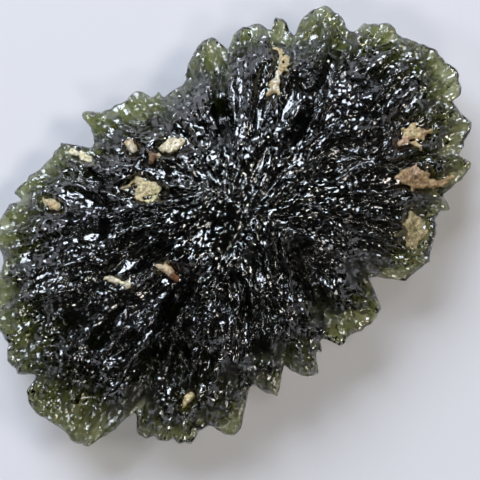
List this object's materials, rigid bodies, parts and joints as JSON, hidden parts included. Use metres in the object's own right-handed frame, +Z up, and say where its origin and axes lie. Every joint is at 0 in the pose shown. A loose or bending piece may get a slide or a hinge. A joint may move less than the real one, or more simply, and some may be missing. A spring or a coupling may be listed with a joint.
{
  "type": "raw moldavite",
  "caption": "Flattened raw green tektite glass with a thin lobed rim, ridges fanning out over both faces, and dry clay in its pits.",
  "frame": {"origin": "middle of the stone's length and width, on the plane that it rests on", "axes": "+X along the stone's long axis, +Y across it in its plane, +Z up out of the domed face"},
  "size_m": [0.05, 0.0318, 0.0101],
  "materials": {
    "moldavite_glass": "gloss",
    "dry_clay": "matte"
  },
  "bodies": {
    "root": {"moldavite": "moldavite_glass", "clay_strip": "dry_clay", "clay_nugget": "dry_clay", "clay_cream_patch": "dry_clay", "clay_pink_crumb": "dry_clay", "clay_west_crumb": "dry_clay", "clay_rim_streak": "dry_clay", "clay_star": "dry_clay", "clay_long_patch": "dry_clay", "clay_broad_patch": "dry_clay", "clay_rust_crumb": "dry_clay", "clay_sliver": "dry_clay", "clay_south_crumb": "dry_clay"}
  },
  "joints": []
}
